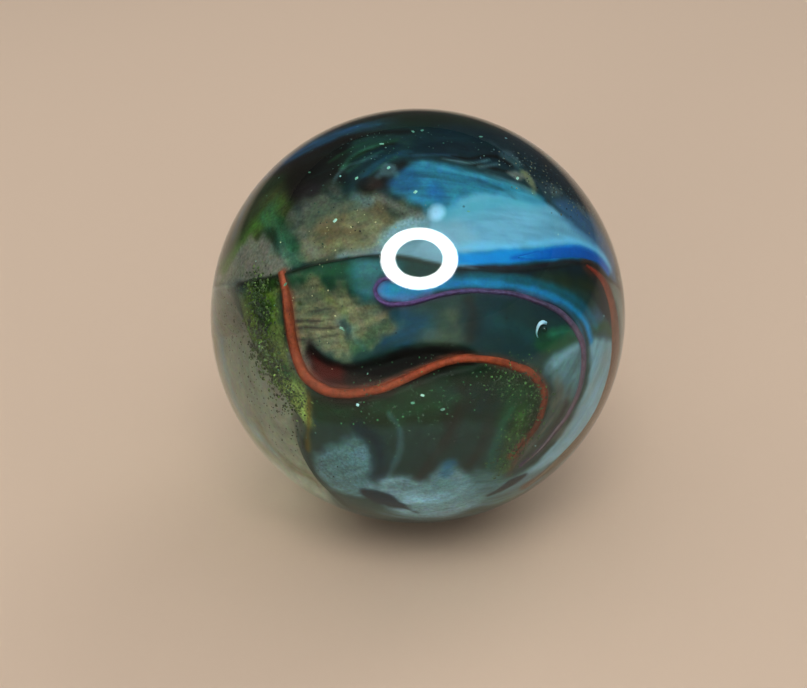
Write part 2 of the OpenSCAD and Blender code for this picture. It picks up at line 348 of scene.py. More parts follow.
# The clear glass at the left, which runs round the back, and the frit along its edge
clearSide = [
    patch("clear", [(-64, 10), (-60, -2), (-55, -12), (-48, -22), (-44, -29), (-53, -40), (-60, -52),
                    (-68, -62), (-92, -64), (-112, -52), (-124, -34), (-130, -14), (-128, 4), (-110, 10),
                    (-84, 11)], 16, dip=1.9, grain=0.12),
    patch("moss", [(-59, 8), (-50, 10), (-42, 10.5), (-41, 2), (-40, -6), (-38, -14), (-35, -20),
                   (-36, -30), (-41, -31), (-48, -20), (-54, -10), (-58, -2)], 6, ragged=3, cover=0.9,
          grain=0.8, dip=0.25),
    band("frit", [(-51, 8), (-50, 2), (-49, -4), (-48, -10)], [9, 9, 8, 6], 4, ragged=3, cover=0.92,
         grain=0.7),
    patch("fritDark", [(-54, 9), (-48, 10), (-44, 9.6), (-46, 7), (-52, 6)], 2.4, ragged=2, cover=0.9,
          grain=0.8),
    patch("fritDark", [(-51, 5), (-47, 4), (-46, -1), (-50, -1.6)], 2.6, ragged=2.4, cover=0.85, grain=0.8),
    patch("fritDark", [(-55, -8), (-52.6, -8), (-52, -10.4), (-54.4, -10.4)], 1.4, ragged=1, cover=0.8),
    band("fritDark", [(-49, -5), (-48, -9), (-46, -12)], 1.6, 2.6, ragged=2, cover=0.6, grain=0.8),
    patch("bottleGreen", [(-47, -14), (-42, -13.6), (-40, -17), (-43, -20), (-47, -17.6)], 2.4, ragged=2,
          cover=0.85, grain=0.8),
    band("lime", [(-46, -18), (-42, -22), (-39, -26), (-38, -30)], 6, 4, ragged=2, cover=0.9, grain=0.7),
    band("amber", [(-34, -22), (-36, -27), (-39, -33), (-44, -40)], 1.8, 2.4, cover=0.8),
]

# Wisps on the far wall of the clear glass
clearWisps = [
    band("smoke", [(-66, 4), (-74, -10), (-77, -26), (-72, -42)], [2, 6, 7, 3], 6, ragged=2, cover=0.5,
         streak=0.6),
    band("fogBlue", [(-80, 8), (-92, -6), (-98, -24), (-94, -42)], [2, 7, 8, 4], 7, ragged=2, cover=0.55,
         streak=0.6),
    band("moss", [(-90, 6), (-104, -8), (-110, -24), (-104, -40)], [1, 3, 4, 2], 4, ragged=1.6, cover=0.5,
         streak=0.5),
    band("tan", [(-84, -30), (-92, -46), (-84, -58)], 3, 5, ragged=2, cover=0.4, streak=0.6),
]

seamLines = [
    band("seamDark", seam[:6], 1.1, 1.2, cover=0.85),
    band("black", seam[5:], 0.7, 1, cover=0.8),
]

# Ribbons of coloured glass: thin sheets standing up out of the body, seen along their outer edge. Places in
# degrees; wide and deep in mm; colours go along it. back is how much of it the back swirl has.
ribbons = [
    {"name": "redRibbon", "slot": "red_glass", "deep": 0.5, "back": 1,
     "wide": [0.26, 0.34, 0.36, 0.34, 0.32, 0.3, 0.3, 0.34, 0.34, 0.14],
     "colours": ["864a34", "84462e", "88462e", "8e4a31", "8a462c", "7a402c", "603a2c"],
     "under": {"glass": "brick", "wide": 3, "soft": 2.2, "cover": 0.7, "streak": 0.2},
     "line": [(-41.7, 11.6), (-40.1, 8), (-39.2, 5), (-38.4, 0.5), (-37.5, -6.2), (-36.8, -9.9),
              (-35, -16), (-33, -18.3), (-31, -19.9), (-28.2, -21.3), (-25, -22), (-21, -22.2),
              (-17.4, -21.9), (-13.2, -21.2), (-9.9, -20.3), (-6, -18.8), (-2, -17), (1.8, -15.3),
              (5.6, -13.7), (9.4, -12.6), (12.4, -12.1), (16.3, -12.1), (20.3, -12.4), (24.5, -13.2),
              (28, -14.2), (32, -15.4), (35, -17.2), (38, -19.6), (40.3, -22.4), (41, -25.7), (41.3, -29),
              (41, -32.6), (39, -37), (37, -41.7)]},
    {"name": "purpleRibbon", "slot": "purple_glass", "deep": 0.4, "back": 1,
     "wide": [0.12, 0.17, 0.17, 0.17, 0.2, 0.26, 0.28, 0.22, 0.1],
     "colours": ["5e4a70", "5c466c", "564a66", "5a4a60", "645262", "6a5a62", "5e585c"],
     "under": {"glass": "grape", "wide": 1.6, "soft": 2, "cover": 0.75, "streak": 0.2},
     "line": [(-6.4, 9.7), (-10, 9.2), (-11.6, 7.5), (-11.7, 5.7), (-10.4, 3.8), (-8.5, 2.7), (-5.6, 2.6),
              (-1.9, 2.9), (1.8, 4), (6.2, 5.2), (10.7, 6), (15.3, 6.3), (20.7, 6.1), (25.6, 5.6),
              (30.7, 4.5), (36, 2.9), (41, 1.1), (45, -1.3), (48.7, -4.3), (51.7, -7.7), (53.4, -11.6),
              (54.6, -16.2), (55, -21), (54.8, -25), (53.8, -29.4), (51.5, -33.8), (49.3, -39.5),
              (44.8, -45.6)]},
    {"name": "rimRibbon", "slot": "red_glass", "deep": 0.5, "back": 0,
     "wide": [0.08, 0.5, 1.0, 1.3, 1.3, 1.0, 0.3],
     "colours": ["82382a", "783e2a", "6a442c", "664a30", "6c563a", "72644c"],
     "under": {"glass": "rust", "wide": 5, "soft": 3, "cover": 0.8, "streak": 0.2},
     "line": [(55.4, 13.6), (60, 11.6), (64, 8.9), (67, 5.1), (69.3, 1), (72, -5), (75, -12), (77, -19),
              (77.6, -26), (76.4, -33), (73, -40), (69, -47), (65, -54)]},
    {"name": "blueRibbon", "slot": "blue_glass", "deep": 0.3, "back": 1, "grain": 0.05, "top": 0.954,
     "wide": [0.05, 0.3, 0.42, 0.46, 0.46, 0.4, 0.26, 0.1],
     "colours": ["147cb0", "1068a4", "0e5898", "0e5496", "0e5496", "0e5698", "1068a8"],
     "line": [(29, 15.5), (33, 15.8), (41, 16.6), (49, 17.1), (56, 16.6), (61.7, 15.3), (67.3, 12.4)]},
]


def unit(v):
    return v / np.linalg.norm(v, axis=-1, keepdims=True)


def eased(t):
    t = np.clip(t, 0, 1)
    return t * t * (3 - 2 * t)


def swatch(code):
    return np.array([int(code[i:i + 2], 16) / 255 for i in (0, 2, 4)])


swatches = {name: swatch(code) for name, code in glasses.items()}


def spotAt(turn, rise):
    turn, rise = np.radians(turn), np.radians(rise)
    return np.stack([np.cos(rise) * np.sin(turn), np.sin(rise), np.cos(rise) * np.cos(turn)], -1)


def degreesBetween(a, b):
    return np.degrees(np.arccos(np.clip((a * b).sum(-1), -1, 1)))


def spreadAlong(values, along):
    # values spaced evenly from 0 to 1, read off in between
    return np.interp(along, np.linspace(0, 1, len(values)), values)


def smoothWay(places, by=0, closed=False, step=0.7):
    # a smooth curve on the ball through some places, with a point about every step degrees
    p = spotAt(*(np.array(places, float) + (by, 0)).T)
    if closed:
        ring = np.concatenate([p[-1:], p, p[:2]])
    else:
        ring = np.concatenate([p[:1] * 2 - p[1:2], p, p[-1:] * 2 - p[-2:-1]])
    out = []
    for a, b, c, d in zip(ring, ring[1:], ring[2:], ring[3:]):
        count = max(3, int(degreesBetween(unit(b), unit(c)) / step))
        t = np.linspace(0, 1, count, endpoint=False)[:, None]
        out.append(0.5 * (2 * b + (c - a) * t + (2 * a - 5 * b + 4 * c - d) * t**2
                          + (3 * b - a - 3 * c + d) * t**3))
    if not closed:
        out.append(p[-1:])
    return unit(np.concatenate(out))


def cloud(p, seed=0):
    # smooth random values from -1 to 1, the same on each run
    base = np.floor(p).astype(np.int64)
    f = p - base
    f = f * f * (3 - 2 * f)
    total = np.zeros(len(p))
    for corner in range(8):
        step = np.array([corner & 1, corner >> 1 & 1, corner >> 2])
        x, y, z = (base + step).T
        # stir the corner's place into a number from 0 to 65535
        mixed = x * 374761393 + y * 668265263 + z * 69069 + seed * 362437
        mixed = (mixed ^ mixed >> 13) * 1274126177
        value = (mixed ^ mixed >> 16) & 0xFFFF
        total += np.where(step, f, 1 - f).prod(1) * (value / 32767.5 - 1)
    return total


def bandInside(p, way, layer):
    # how far inside a band each point is, how far across it and how far along, in degrees
    handful = 20000  # points at a time, to spare memory
    nearest = np.empty(len(p), int)
    for i in range(0, len(p), handful):
        dots = p[i:i + handful].astype(np.float32) @ way.T.astype(np.float32)
        nearest[i:i + handful] = dots.argmax(1)
    apart = degreesBetween(p, way[nearest])
    heading = unit(np.gradient(way, axis=0))
    side = np.degrees((np.cross(way[nearest], heading[nearest]) * p).sum(1))
    last = len(way) - 1
    apart = np.where((nearest > 0) & (nearest < last), np.abs(side), apart)
    half = spreadAlong(np.atleast_1d(layer["wide"]), nearest / last) / 2
    return half - apart, side, nearest * degreesBetween(way[0], way[1])


def patchInside(p, way, layer):
    # the same for a patch, laid flat round its middle, with along in the way that it flows
    centre = unit(way.mean(0))
    east = unit(np.cross((0, 1, 0.001), centre))
    north = np.cross(centre, east)

    def flat(v):
        x, y = v @ east, v @ north
        scale = degreesBetween(v, centre) / np.maximum(np.hypot(x, y), 1e-9)
        return x * scale, y * scale

    x, y = flat(p)
    edgeX, edgeY = flat(way)
    apart, inside = np.full(len(p), 1e9), np.zeros(len(p), bool)
    for i in range(len(way)):
        x0, y0, x1, y1 = edgeX[i - 1], edgeY[i - 1], edgeX[i], edgeY[i]
        dx, dy = x1 - x0, y1 - y0
        t = np.clip(((x - x0) * dx + (y - y0) * dy) / max(dx * dx + dy * dy, 1e-12), 0, 1)
        apart = np.minimum(apart, (x - x0 - t * dx) ** 2 + (y - y0 - t * dy) ** 2)
        if y0 != y1:
            inside ^= ((y0 > y) != (y1 > y)) & (x < x0 + (y - y0) * dx / dy)
    flow = math.radians(layer.get("flow", 0))
    across = y * math.cos(flow) - x * math.sin(flow)
    along = x * math.cos(flow) + y * math.sin(flow)
    return np.where(inside, 1, -1) * np.sqrt(apart), across, along


def layGlass(p, look, layer, hold, by=0):
    # paint one layer over what is there; hold is where it may lie
    closed = "patch" in layer
    way = smoothWay(layer["patch" if closed else "line"], by, closed, 2 if closed else 0.7)
    soft = layer["soft"]
    centre = unit(way.mean(0))
    reach = degreesBetween(way, centre).max() + soft + 4 + np.max(layer.get("wide", 0))
    near = np.flatnonzero((degreesBetween(p, centre) < reach) & (hold > 0))
    if not len(near):
        return
    q = p[near]
    inside, across, along = (patchInside if closed else bandInside)(q, way, layer)
    seed = len(layer["glass"]) + int(abs(way[0, 0]) * 90)
    if "dip" in layer:
        dipped = eased(inside / max(soft, 5) + 0.5) * hold[near]
        if layer["dip"] > 1:  # a deep hollow starts gently, below the seam
            dipped *= look["below"][near]
        look["dip"][near] += (layer["dip"] - look["dip"][near]) * dipped
    inside += layer.get("ragged", soft * 0.2) * (cloud(q * 14, seed) + 0.5 * cloud(q * 31, seed + 1))
    cover = eased(inside / soft + 0.5) * layer.get("cover", 1) * hold[near]
    drawn = np.stack([across * 0.9, along * 0.09, across * 0], 1)
    streaks = cloud(drawn, seed) * 0.6 + cloud(drawn * 2.3, seed + 2) * 0.4
    cover *= 1 - layer.get("streak", 0) * np.clip(0.45 + streaks, 0, 1)
    look["glass"][near] += (swatches[layer["glass"]] - look["glass"][near]) * cover[:, None]
    if "grain" in layer:
        look["grain"][near] += (layer["grain"] - look["grain"][near]) * cover


def seamRise(turn):
    places = sorted([((t + by + 180) % 360 - 180, r) for t, r in seam for by in bothSwirls])
    turns, rises = np.array(places).T
    turns = np.concatenate([turns - 360, turns, turns + 360])
    return np.interp(turn, turns, np.tile(rises, 3))


def swirl(p):
    # the colour of the coloured body in each direction, how deep it lies, and how grainy it is
    turn = np.degrees(np.arctan2(p[:, 0], p[:, 2]))
    rise = np.degrees(np.arcsin(np.clip(p[:, 1], -1, 1)))
    overSeam = rise - seamRise(turn)
    above = np.clip(overSeam / 0.6 + 0.5, 0, 1)
    everywhere = np.ones(len(p))
    look = {
        "glass": np.where(above[:, None] > 0.5, swatches["deepTeal"], swatches["pond"]),
        "grain": everywhere * 0.12,
        "dip": everywhere * 0,
        "below": np.clip(-overSeam / 14, 0, 1),
    }
    for layers, hold in ((upperGather, above), (lowerGather, 1 - above)):
        for by in bothSwirls:
            for layer in layers:
                layGlass(p, look, layer, hold, by)
    for layer in clearSide:
        layGlass(p, look, layer, 1 - above)
    for ribbon in ribbons:
        for by in bothSwirls[:2 if ribbon["back"] else 1]:
            if "under" in ribbon:
                layGlass(p, look, dict(ribbon["under"], line=ribbon["line"]), everywhere, by)
    deep = np.clip(look["dip"] / 0.9 - 1, 0, 1)[:, None]  # where it is deep, only haze is left
    look["glass"] += (swatches["clear"] - look["glass"]) * deep
    for layer in clearWisps:
        layGlass(p, look, layer, 1 - above)
    for by in bothSwirls:
        for layer in seamLines:
            layGlass(p, look, layer, everywhere, by)
    return look


# Meshes are made in the ball's own axes, in mm, and put in place at the end
faceLean = math.radians(ball["faceTilt"])
ballAxes = np.array([(1, 0, 0), (0, math.sin(faceLean), -math.cos(faceLean)),
                     (0, math.cos(faceLean), math.sin(faceLean))])


def cubeBall(cuts):
    # the directions and faces of a ball with an even grid, closer together towards the face
    shape = bmesh.new()
    bmesh.ops.create_cube(shape, size=2)
    bmesh.ops.subdivide_edges(shape, edges=shape.edges, cuts=cuts, use_grid_fill=True)
    points = np.array([v.co for v in shape.verts])
    faces = [[v.index for v in f.verts] for f in shape.faces]
    shape.free()
    points = unit(np.tan(points * math.pi / 4))
    away = np.arccos(np.clip(points[:, 2], -1, 1))
    nearer = away - ball["faceDenser"] * np.sin(away)
    around = np.arctan2(points[:, 1], points[:, 0])
    out = np.sin(nearer)
    return np.stack([out * np.cos(around), out * np.sin(around), np.cos(nearer)], 1), faces


def joinRings(rings, sides):
    # faces from each ring of points to the next
    corners = np.arange(rings * sides).reshape(rings, sides)
    turned = np.roll(corners, -1, axis=1)
    return np.stack([corners[:-1], turned[:-1], turned[1:], corners[1:]], -1).reshape(-1, 4).tolist()


def closeTube(rings, sides):
    return joinRings(rings, sides) + [range(sides - 1, -1, -1), range((rings - 1) * sides, rings * sides)]


def newObject(name, data):
    obj = bpy.data.objects.new(name, data)
    bpy.context.scene.collection.objects.link(obj)
    return obj


def newMesh(name, points, faces, material, smooth=True):
    mesh = bpy.data.meshes.new(name)
    mesh.from_pydata(np.array(points).tolist(), [], [list(map(int, f)) for f in faces])
    mesh.polygons.foreach_set("use_smooth", [smooth] * len(mesh.polygons))
    mesh.materials.append(material)
    return mesh


def paintMesh(mesh, name, colours):
    paint = mesh.color_attributes.new(name, "FLOAT_COLOR", "POINT")
    paint.data.foreach_set("color", np.column_stack([colours, np.ones(len(colours))]).ravel())


def addPiece(name, points, faces, material, colours=None, grain=0.3, smooth=True):
    placed = np.asarray(points) @ ballAxes.T * mm + np.array(middle)
    mesh = newMesh(name, placed, faces, material, smooth)
    if colours is not None:
        paintMesh(mesh, "glassColour", colours)
        grains = mesh.attributes.new("grain", "FLOAT", "POINT")
        grains.data.foreach_set("value", np.broadcast_to(grain, len(points)).ravel())
    mesh.validate()
    piece = newObject(name, mesh)
    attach(piece, "root")
    return piece


def toLinear(colours):
    # swatch values to light values
    light = np.where(colours < 0.04045, colours / 12.92, ((colours + 0.055) / 1.055) ** 2.4)
    return light ** ball["contrast"] * ball["bright"]


# Materials
def newMaterial(name):
    material = bpy.data.materials.new(name)
    material.use_nodes = True
    tree = material.node_tree
    return material, tree, tree.nodes["Principled BSDF"]


def setSockets(node, values):
    for name, value in values.items():
        node.inputs[name].default_value = value


def newGroup(name, inputs, outputs):
    group = bpy.data.node_groups.new(name, "ShaderNodeTree")
    for socketName, kind, value in inputs:
        socket = group.interface.new_socket(socketName, in_out="INPUT", socket_type=kind)
        socket.default_value = value
    for socketName, kind in outputs:
        group.interface.new_socket(socketName, in_out="OUTPUT", socket_type=kind)
    return group, group.nodes.new("NodeGroupInput").outputs, group.nodes.new("NodeGroupOutput").inputs


def addNode(tree, kind, links=(), **values):
    # links are pairs of a socket or a plain value, and the input that it goes to
    node = tree.nodes.new(kind)
    for name, value in values.items():
        setattr(node, name, value)
    for source, socket in links:
        if isinstance(source, bpy.types.NodeSocket):
            tree.links.new(source, node.inputs[socket])
        else:
            node.inputs[socket].default_value = source
    return node


def addNoise(tree, scale, detail, output="Fac", **values):
    place = addNode(tree, "ShaderNodeTexCoord").outputs["Object"]
    links = [(place, "Vector"), (scale, "Scale"), (detail, "Detail")]
    links += [(value, name.capitalize()) for name, value in values.items()]
    return addNode(tree, "ShaderNodeTexNoise", links).outputs[output]


def addMath(tree, operation, *values):
    links = [(value, i) for i, value in enumerate(values)]
    return addNode(tree, "ShaderNodeMath", links, operation=operation).outputs[0]


def mapRange(tree, value, fromMin, fromMax, toMin, toMax, **values):
    return addNode(tree, "ShaderNodeMapRange", [
        (value, "Value"), (fromMin, "From Min"), (fromMax, "From Max"), (toMin, "To Min"), (toMax, "To Max"),
    ], **values).outputs[0]


def mixColours(tree, factor, first, second):
    # 6 and 7 are a Mix node's colours, and 2 is the colour that it gives
    return addNode(tree, "ShaderNodeMix", [(factor, 0), (first, 6), (second, 7)], data_type="RGBA").outputs[2]


def speckledGroup():
    # fine speckle and faint wisps in the coloured glass
    group, given, out = newGroup("speckledGlass", [
        ("Colour", "NodeSocketColor", (0.2, 0.2, 0.2, 1)), ("Grain", "NodeSocketFloat", 0.3),
        ("Speck Scale", "NodeSocketFloat", 9000), ("Wisp Scale", "NodeSocketFloat", 900),
    ], [("Colour", "NodeSocketColor"), ("Height", "NodeSocketFloat"), ("Roughness", "NodeSocketFloat")])
    speck = addNoise(group, given["Speck Scale"], 3, roughness=0.6)
    wisp = addNoise(group, given["Wisp Scale"], 4, roughness=0.6, distortion=1.2)
    mottleScale = addMath(group, "MULTIPLY", given["Wisp Scale"], 3.4)
    mottle = addNoise(group, mottleScale, 2.7, "Color", roughness=0.6, distortion=0.8)
    # glass with little grain is calmer
    calm = mapRange(group, given["Grain"], 0, 0.12, 0.15, 1)
    wispShade = addNode(group, "ShaderNodeMix", [
        (calm, "Factor"), (1, "A"), (mapRange(group, wisp, 0.3, 0.7, 0.82, 1.18), "B")]).outputs[0]
    grains = addMath(group, "MULTIPLY", addMath(group, "SUBTRACT", speck, 0.5), given["Grain"])
    shade = addMath(group, "MULTIPLY_ADD", grains, 4, wispShade)
    tint = addNode(group, "ShaderNodeVectorMath", [(mottle, 0), ((0.5,) * 3, 1), ((0.75,) * 3, 2)],
                   operation="MULTIPLY_ADD").outputs["Vector"]
    shaded = addNode(group, "ShaderNodeVectorMath", [(given["Colour"], 0), (shade, "Scale")],
                     operation="SCALE").outputs["Vector"]
    calmTint = mixColours(group, calm, (1,) * 4, tint)
    tinted = addNode(group, "ShaderNodeVectorMath", [(shaded, 0), (calmTint, 1)],
                     operation="MULTIPLY").outputs["Vector"]
    group.links.new(tinted, out["Colour"])
    group.links.new(speck, out["Height"])
    group.links.new(mapRange(group, speck, 0, 1, 0.45, 0.8), out["Roughness"])
    return group


speckled = speckledGroup()


def colouredGlass(name, speckScale=9000, wispScale=900, shine=0.05, metal=0.0):
    material, tree, shader = newMaterial(name)
    colour = addNode(tree, "ShaderNodeAttribute", attribute_name="glassColour").outputs["Color"]
    grain = addNode(tree, "ShaderNodeAttribute", attribute_name="grain").outputs["Fac"]
    group = addNode(tree, "ShaderNodeGroup", node_tree=speckled)
    setSockets(group, {"Speck Scale": speckScale, "Wisp Scale": wispScale})
    tree.links.new(colour, group.inputs["Colour"])
    tree.links.new(grain, group.inputs["Grain"])
    tree.links.new(group.outputs["Colour"], shader.inputs["Base Color"])
    tree.links.new(group.outputs["Roughness"], shader.inputs["Roughness"])
    raised = addNode(tree, "ShaderNodeBump", [
        (group.outputs["Height"], "Height"), (0.15, "Strength"), (0.00003, "Distance")])
    tree.links.new(raised.outputs["Normal"], shader.inputs["Normal"])
    setSockets(shader, {"Specular IOR Level": shine, "Metallic": metal})
    return material


# The clear outer ball
clearCover = {
    "lightThrough": 0.93,                 # of the light that falls in
    "smoke": (0.80, 0.83, 0.79),
    "smokeDensity": 300,
    "shine": 0.2,                         # how strongly it mirrors the room; 0.5 is window glass
    "waver": 0.012,                       # mm that the hand-rounded surface is out
    "waverSize": 5,                       # mm from one rise to the next
    "cuts": 95,                           # its grid, as the coloured body's
}


def clearGlass():
    material, tree, shader = newMaterial("clear cover glass")
    setSockets(shader, {"Transmission Weight": 1, "IOR": 1.5, "Specular IOR Level": clearCover["shine"],
                        "Base Color": (0.98, 0.99, 0.985, 1)})
    handled = mapRange(tree, addNoise(tree, 600, 3), 0.5, 0.75, 0, 0.025)
    tree.links.new(handled, shader.inputs["Roughness"])
    isShadow = addNode(tree, "ShaderNodeLightPath").outputs["Is Shadow Ray"]
    through = addNode(tree, "ShaderNodeBsdfTransparent", [
        ((clearCover["lightThrough"],) * 3 + (1,), "Color")]).outputs[0]
    both = addNode(tree, "ShaderNodeMixShader", [(isShadow, 0), (shader.outputs[0], 1), (through, 2)])
    smoke = addNode(tree, "ShaderNodeVolumeAbsorption", [
        (clearCover["smoke"] + (1,), "Color"), (clearCover["smokeDensity"], "Density")])
    output = tree.nodes["Material Output"]
    tree.links.new(both.outputs[0], output.inputs["Surface"])
    tree.links.new(smoke.outputs[0], output.inputs["Volume"])
    return material


points, faces = cubeBall(clearCover["cuts"])
waver = cloud(points * radius / clearCover["waverSize"], 5) * clearCover["waver"] * 0.5
ballGlass = addPiece("clearBall", points * (radius - clearCover["waver"] * 0.5 + waver)[:, None], faces,
                     clearGlass())
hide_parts("marble")
print("clear ball made")

# The coloured body inside it
points, faces = cubeBall(ball["bodyCuts"])
look = swirl(points)
depth = radius - ball["coverGlass"] - look["dip"]
facingUp = points @ ballAxes[2]
# painted light: the body's colours are made lighter towards its underside, standing in for light from below
lift = 1 + ball["underLift"] * np.clip(0.45 - facingUp, 0, 1.1)[:, None]
addPiece("swirledBody", points * depth[:, None], faces, colouredGlass("swirled glass"),
         toLinear(look["glass"]) * lift, look["grain"])
print("swirled body made")

ribbonShape = {
    "sides": 12,     # round a ribbon's outline
    "taper": 12,     # rings over which its far end narrows
    "top": 0.966,    # how far out it reaches, as part of the ball's radius
    "uneven": 0.12,  # how much its width varies
}


def sweepRibbon(ribbon, by):
    sides = ribbonShape["sides"]
    way = smoothWay(ribbon["line"], by)
    along = np.linspace(0, 1, len(way))
    if by:
        way, along = way[along < ribbon["back"]], along[along < ribbon["back"]]
    count = len(way)
    wide = spreadAlong(ribbon["wide"], along)
    wide *= np.clip(np.arange(count)[::-1] / ribbonShape["taper"], 0.1, 1)
    wide *= 1 + ribbonShape["uneven"] * cloud(way * 9, 3)
    side = unit(np.cross(np.gradient(way, axis=0), way))
    turns = np.arange(sides) / sides * 2 * math.pi
    across = np.cos(turns)[None, :, None] * side[:, None] * wide[:, None, None] / 2
    tops = np.sign(np.sin(turns)) * np.abs(np.sin(turns)) ** 0.5
    out = radius * ribbon.get("top", ribbonShape["top"]) + (tops - 1) * ribbon["deep"] / 2
    points = (way[:, None] * out[None, :, None] + across).reshape(-1, 3)
    codes = np.array([swatch(code) for code in ribbon["colours"]])
    colours = np.stack([spreadAlong(values, along) for values in codes.T], 1)
    return points, closeTube(count, sides), toLinear(np.repeat(colours, sides, axis=0))


for slot in ("red_glass", "purple_glass", "blue_glass"):
    material = colouredGlass(slot.replace("_", " "), 5000, 1200)
    for ribbon in ribbons:
        if ribbon["slot"] != slot:
            continue
        for by, end in zip(bothSwirls, ("Front", "Back") if ribbon["back"] else ("Front",)):
            points, faces, colours = sweepRibbon(ribbon, by)
            addPiece(ribbon["name"] + end, points, faces, material, colours, ribbon.get("grain", 0.35))
print("ribbons made")

# Grains of crushed glass and bright flakes, scattered along lines. Sizes and depths in mm.
scatters = [
    {"name": "greenGrains", "slot": "green_glass", "count": 1000, "spread": 4.6, "size": (0.025, 0.08),
     "depth": (0.12, 0.8), "glass": ["304618", "425e24", "546e2e", "66803a", "263a14", "748c48"],
     "line": [(-52, 9), (-51, 4), (-49, 0), (-49, -5), (-48, -10), (-45, -16), (-42, -22), (-39, -26)]},
    {"name": "darkGreenGrains", "slot": "green_glass", "count": 200, "spread": 4, "size": (0.04, 0.12),
     "depth": (0.12, 0.6), "glass": ["284416", "30501c", "223a14", "3c6028"],
     "line": [(-52, 9), (-50, 6), (-48.5, 0), (-50, -8), (-46, -13), (-43, -17)]},
    {"name": "rightGreenGrains", "slot": "green_glass", "count": 700, "spread": 5, "size": (0.02, 0.06),
     "depth": (0.2, 0.5), "glass": ["1c4a20", "2c5a2a", "3c6c30", "163418", "4c7a38"],
     "line": [(22, -17), (31, -18), (36, -23), (37, -29), (36, -36), (36, -46)]},
    {"name": "underGreenGrains", "slot": "green_glass", "count": 260, "spread": 9, "size": (0.015, 0.05),
     "depth": (0.15, 0.5), "glass": ["1c5a34", "2c7a48", "164428", "0e3020"],
     "line": [(-20, -24), (-8, -24), (2, -21), (14, -20)]},
    {"name": "darkSpecks", "slot": "swirled_glass", "count": 240, "spread": 11, "size": (0.015, 0.04),
     "depth": (0.05, 0.9), "glass": ["3a3d32", "4a4c40", "2a2c22"],
     "line": [(-72, 6), (-62, -4), (-58, -14), (-52, -24), (-46, -34), (-50, -44)]},
    {"name": "darkSpecksTop", "slot": "swirled_glass", "count": 280, "spread": 8, "size": (0.02, 0.05),
     "depth": (0.05, 0.3), "glass": ["141c1a", "0c1416", "27373c", "3c5056", "5a6e70", "7a8278", "857c60"],
     "line": [(40, 46), (50, 42), (58, 36), (68, 28)]},
    {"name": "beigeSpecks", "slot": "swirled_glass", "count": 120, "spread": 11, "size": (0.015, 0.045),
     "depth": (0.2, 0.5), "glass": ["2b2c20", "1f3c36", "35523f", "a09a7a"],
     "line": [(-36, 22), (-24, 26), (-12, 26), (-24, 20), (-34, 0), (-26, -4), (-18, -3)]},
    {"name": "paleSpecksTop", "slot": "swirled_glass", "count": 90, "spread": 8, "size": (0.012, 0.035),
     "depth": (0.1, 0.35), "glass": ["5c7a70", "748e82", "466058", "2b4a4a", "3c6a5c"],
     "line": [(-44, 44), (-32, 46), (-20, 44), (-10, 48), (-24, 54), (-36, 52), (10, 56), (30, 52)]},
]


def scatter(group, seed):
    # small tumbled crystals, each with eight facets
    random = np.random.default_rng(seed)
    way = smoothWay(group["line"])
    count = group["count"]
    spots = unit(way[random.integers(0, len(way), count)] + random.normal(0, 1, (count, 3))
                 * math.radians(group["spread"]) * 0.6)
    out = radius - random.uniform(*group["depth"], count)
    sizes = random.uniform(*group["size"], (count, 3)) * random.uniform(0.7, 1.3, (count, 1))
    turnsA = unit(random.normal(0, 1, (count, 3)))
    turnsB = unit(np.cross(turnsA, unit(random.normal(0, 1, (count, 3)))))
    turnsC = np.cross(turnsA, turnsB)
    arms = [turns * sizes[:, i:i + 1] for i, turns in enumerate((turnsA, turnsB, turnsC))]
    corners = np.stack([sign * arm for arm in arms for sign in (1, -1)], 1)
    points = (spots * out[:, None])[:, None] + corners
    facets = np.array([(0, 2, 4), (2, 1, 4), (1, 3, 4), (3, 0, 4),
                       (2, 0, 5), (1, 2, 5), (3, 1, 5), (0, 3, 5)])
    faces = (facets[None] + np.arange(count)[:, None, None] * 6).reshape(-1, 3)
    codes = np.array([swatch(code) for code in group["glass"]])
    colours = codes[random.integers(0, len(codes), count)] * random.uniform(0.8, 1.15, (count, 1))
    return points.reshape(-1, 3), faces, toLinear(np.repeat(np.clip(colours, 0, 1), 6, axis=0))


grainMaterials = {"green_glass": colouredGlass("green frit", 12000, 2000, 0.3),
                  "swirled_glass": colouredGlass("dark specks", 12000, 2000, 0.1)}
for seed, group in enumerate(scatters, 11):
    points, faces, colours = scatter(group, seed)
    addPiece(group["name"], points, faces, grainMaterials[group["slot"]], colours, 0.5,
             smooth=False)

# Bright flakes, each a thin plate
flakes = {
    "places": [(-2.8, 59.6), (-16.6, 53.2), (-43.4, 42), (-25.3, 25.7), (-21.8, 39.3), (-28.4, 40.2),
               (-10.9, 43), (-1, 34.4), (15.2, 28.3), (1.1, -21.9), (-1.7, -24.1), (-18, -24.7),
               (-42.4, -14.9), (-20.8, -3.7), (-38.5, 8), (37, 39.6), (33.2, 57.3), (50.2, 57.1),
               (2.2, 60.3), (7.1, -26)],
    "more": 70,            # smaller ones anywhere
    "moreSize": 0.4,       # of the size of the others
    "size": (0.04, 0.1),   # mm, half across
    "thick": 0.016,        # mm
    "deep": 0.15,          # mm under the surface
    "tilt": 0.25,          # how far they lean out of the surface
    "sides": 6,
    "glass": ["5f9c86", "83b09c", "4f8c74", "9cc0b2", "6ea48f", "94bcb8"],
}


